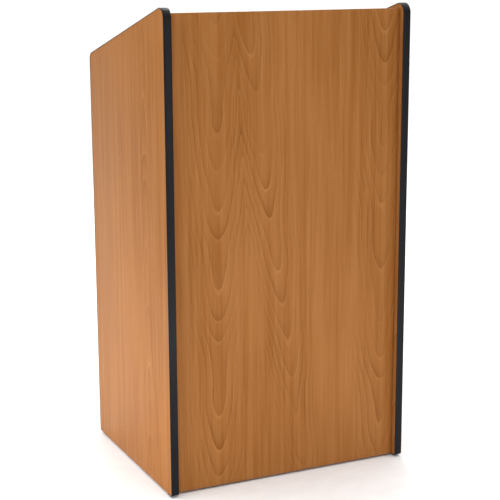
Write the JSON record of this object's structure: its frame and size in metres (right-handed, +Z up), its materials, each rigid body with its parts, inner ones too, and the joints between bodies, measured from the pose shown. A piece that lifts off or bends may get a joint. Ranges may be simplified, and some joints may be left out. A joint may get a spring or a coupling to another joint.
{
  "type": "presentation lectern",
  "caption": "Free-standing presentation lectern in woodgrain laminate with black edge molding, sloped reading surface, pull-out laptop shelf, locking cabinet and hidden swivel casters.",
  "frame": {"origin": "on the floor, mid-way across the width and the depth", "axes": "+Z up; +X to the audience's right; -Y faces the audience, +Y is the presenter's side"},
  "size_m": [0.648, 0.521, 1.168],
  "materials": {
    "laminate": "satin cherry woodgrain laminate on particle board",
    "black_vinyl": "satin black vinyl molding, slightly domed",
    "black_plastic": "fine matt black molded plastic",
    "zinc_steel": "bright zinc plated steel",
    "satin_nickel": "satin nickel plate",
    "wheel_rubber": "dark moulded rubber tread"
  },
  "bodies": {
    "carcass": {"left_side_panel": "laminate", "right_side_panel": "laminate", "front_panel": "laminate", "base_panel": "laminate", "fixed_shelf": "laminate", "adjustable_shelf": "laminate", "reading_surface": "laminate", "left_edge_molding": "black_vinyl", "right_edge_molding": "black_vinyl", "document_stop": "black_vinyl", "grommet_ring": "black_plastic", "grommet_cap": "black_plastic", "left_magnetic_catch": "black_plastic", "right_magnetic_catch": "black_plastic", "left_slide_rail": "zinc_steel", "left_hinge_frame_leaf": "zinc_steel", "left_hinge_pin": "zinc_steel", "right_slide_rail": "zinc_steel", "right_hinge_frame_leaf": "zinc_steel", "right_hinge_pin": "zinc_steel", "shelf_pin_left_front": "satin_nickel", "caster_left_front_plate": "zinc_steel", "shelf_pin_left_back": "satin_nickel", "caster_left_back_plate": "zinc_steel", "shelf_pin_right_front": "satin_nickel", "caster_right_front_plate": "zinc_steel", "shelf_pin_right_back": "satin_nickel", "caster_right_back_plate": "zinc_steel"},
    "pullout": {"pullout_shelf": "laminate", "pullout_edge_molding": "black_vinyl", "left_slide_runner": "zinc_steel", "right_slide_runner": "zinc_steel"},
    "left_slide_middle_body": {"left_slide_middle": "zinc_steel"},
    "right_slide_middle_body": {"right_slide_middle": "zinc_steel"},
    "left_door_body": {"left_door": "laminate", "left_hinge_door_leaf": "zinc_steel", "left_door_pull": "satin_nickel", "left_strike_plate": "zinc_steel"},
    "right_door_body": {"right_door": "laminate", "right_hinge_door_leaf": "zinc_steel", "right_door_pull": "satin_nickel", "right_strike_plate": "zinc_steel", "lock_body": "satin_nickel"},
    "lock_barrel": {"lock_plug": "satin_nickel", "lock_cam": "zinc_steel"},
    "caster_left_front_swivel": {"caster_left_front_fork": "zinc_steel", "caster_left_front_axle": "zinc_steel"},
    "caster_left_front_roller": {"caster_left_front_wheel": "wheel_rubber"},
    "caster_left_back_swivel": {"caster_left_back_fork": "zinc_steel", "caster_left_back_axle": "zinc_steel"},
    "caster_left_back_roller": {"caster_left_back_wheel": "wheel_rubber"},
    "caster_right_front_swivel": {"caster_right_front_fork": "zinc_steel", "caster_right_front_axle": "zinc_steel"},
    "caster_right_front_roller": {"caster_right_front_wheel": "wheel_rubber"},
    "caster_right_back_swivel": {"caster_right_back_fork": "zinc_steel", "caster_right_back_axle": "zinc_steel"},
    "caster_right_back_roller": {"caster_right_back_wheel": "wheel_rubber"}
  },
  "joints": [
    {"name": "pullout_slide", "type": "slide", "parent": "carcass", "child": "pullout", "axis": [0, 1, 0], "range_m": [0, 0.3]},
    {"name": "left_slide_extension", "type": "slide", "parent": "carcass", "child": "left_slide_middle_body", "axis": [0, 1, 0], "range_m": [0, 0.15]},
    {"name": "right_slide_extension", "type": "slide", "parent": "carcass", "child": "right_slide_middle_body", "axis": [0, 1, 0], "range_m": [0, 0.15]},
    {"name": "left_door_swing", "type": "hinge", "parent": "carcass", "child": "left_door_body", "pos_m": [-0.3007, 0.2315, 0.4315], "axis": [0, 0, 1], "range_deg": [0, 95]},
    {"name": "right_door_swing", "type": "hinge", "parent": "carcass", "child": "right_door_body", "pos_m": [0.3007, 0.2315, 0.4315], "axis": [0, 0, -1], "range_deg": [0, 95]},
    {"name": "lock_turn", "type": "hinge", "parent": "right_door_body", "child": "lock_barrel", "pos_m": [0.0255, 0.228, 0.70859], "axis": [0, 1, 0], "range_deg": [0, 90]},
    {"name": "caster_left_front_turn", "type": "hinge", "parent": "carcass", "child": "caster_left_front_swivel", "pos_m": [-0.2442, -0.1671, 0.05], "axis": [0, 0, 1], "continuous": true},
    {"name": "caster_left_front_roll", "type": "hinge", "parent": "caster_left_front_swivel", "child": "caster_left_front_roller", "pos_m": [-0.2442, -0.1501, 0.025], "axis": [1, 0, 0], "continuous": true},
    {"name": "caster_left_back_turn", "type": "hinge", "parent": "carcass", "child": "caster_left_back_swivel", "pos_m": [-0.2442, 0.172, 0.05], "axis": [0, 0, 1], "continuous": true},
    {"name": "caster_left_back_roll", "type": "hinge", "parent": "caster_left_back_swivel", "child": "caster_left_back_roller", "pos_m": [-0.2442, 0.189, 0.025], "axis": [1, 0, 0], "continuous": true},
    {"name": "caster_right_front_turn", "type": "hinge", "parent": "carcass", "child": "caster_right_front_swivel", "pos_m": [0.2442, -0.1671, 0.05], "axis": [0, 0, 1], "continuous": true},
    {"name": "caster_right_front_roll", "type": "hinge", "parent": "caster_right_front_swivel", "child": "caster_right_front_roller", "pos_m": [0.2442, -0.1501, 0.025], "axis": [1, 0, 0], "continuous": true},
    {"name": "caster_right_back_turn", "type": "hinge", "parent": "carcass", "child": "caster_right_back_swivel", "pos_m": [0.2442, 0.172, 0.05], "axis": [0, 0, 1], "continuous": true},
    {"name": "caster_right_back_roll", "type": "hinge", "parent": "caster_right_back_swivel", "child": "caster_right_back_roller", "pos_m": [0.2442, 0.189, 0.025], "axis": [1, 0, 0], "continuous": true}
  ],
  "couplings": [
    {"joint": "left_slide_extension", "follows": "pullout_slide", "ratio": 0.5},
    {"joint": "right_slide_extension", "follows": "pullout_slide", "ratio": 0.5}
  ]
}
